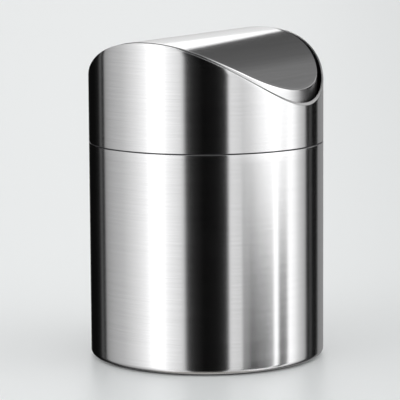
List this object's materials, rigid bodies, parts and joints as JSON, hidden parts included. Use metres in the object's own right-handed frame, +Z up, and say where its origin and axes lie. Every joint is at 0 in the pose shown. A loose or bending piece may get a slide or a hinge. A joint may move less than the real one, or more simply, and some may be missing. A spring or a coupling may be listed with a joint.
{
  "type": "countertop swing lid bin",
  "caption": "Round stainless countertop waste bin with a lift-off lid, an arched rim and a self-levelling flap that swings both ways.",
  "frame": {"origin": "middle of the base, on the surface the bin stands on", "axes": "+Z up along the tube, X along the flap's pivot axis, -Y towards the front low side of the rim"},
  "size_m": [0.12, 0.12, 0.1653],
  "materials": {
    "body_steel": "stainless, brushed round the tube in fine level lines",
    "flap_steel": "stainless, brushed along the pivot axis",
    "bracket_steel": "stainless strip, mill finish",
    "weight_steel": "zinc-plated flat bar",
    "screw_steel": "plated small hardware",
    "black_plastic": "moulded black plastic, fine matt grain",
    "nylon": "natural nylon"
  },
  "bodies": {
    "bin": {"body_shell": "body_steel", "floor_disc": "body_steel", "foot_ring": "black_plastic"},
    "lid": {"lid_shell": "body_steel", "collar": "black_plastic", "pivot_bracket_left": "bracket_steel", "pivot_bracket_right": "bracket_steel", "pivot_screw_left": "screw_steel", "pivot_screw_right": "screw_steel", "washer_left": "screw_steel", "washer_right": "screw_steel"},
    "flap": {"flap_shell": "flap_steel", "flap_liner": "black_plastic", "bush_left": "nylon", "bush_right": "nylon", "counterweight": "weight_steel", "counterweight_screws": "screw_steel"}
  },
  "joints": [
    {"name": "lid_lift", "type": "slide", "parent": "bin", "child": "lid", "axis": [0, 0, 1], "range_m": [0, 0.06]},
    {"name": "flap_swing", "type": "hinge", "parent": "lid", "child": "flap", "pos_m": [0, 0, 0.1543], "axis": [1, 0, 0], "range_deg": [-80, 80]}
  ]
}
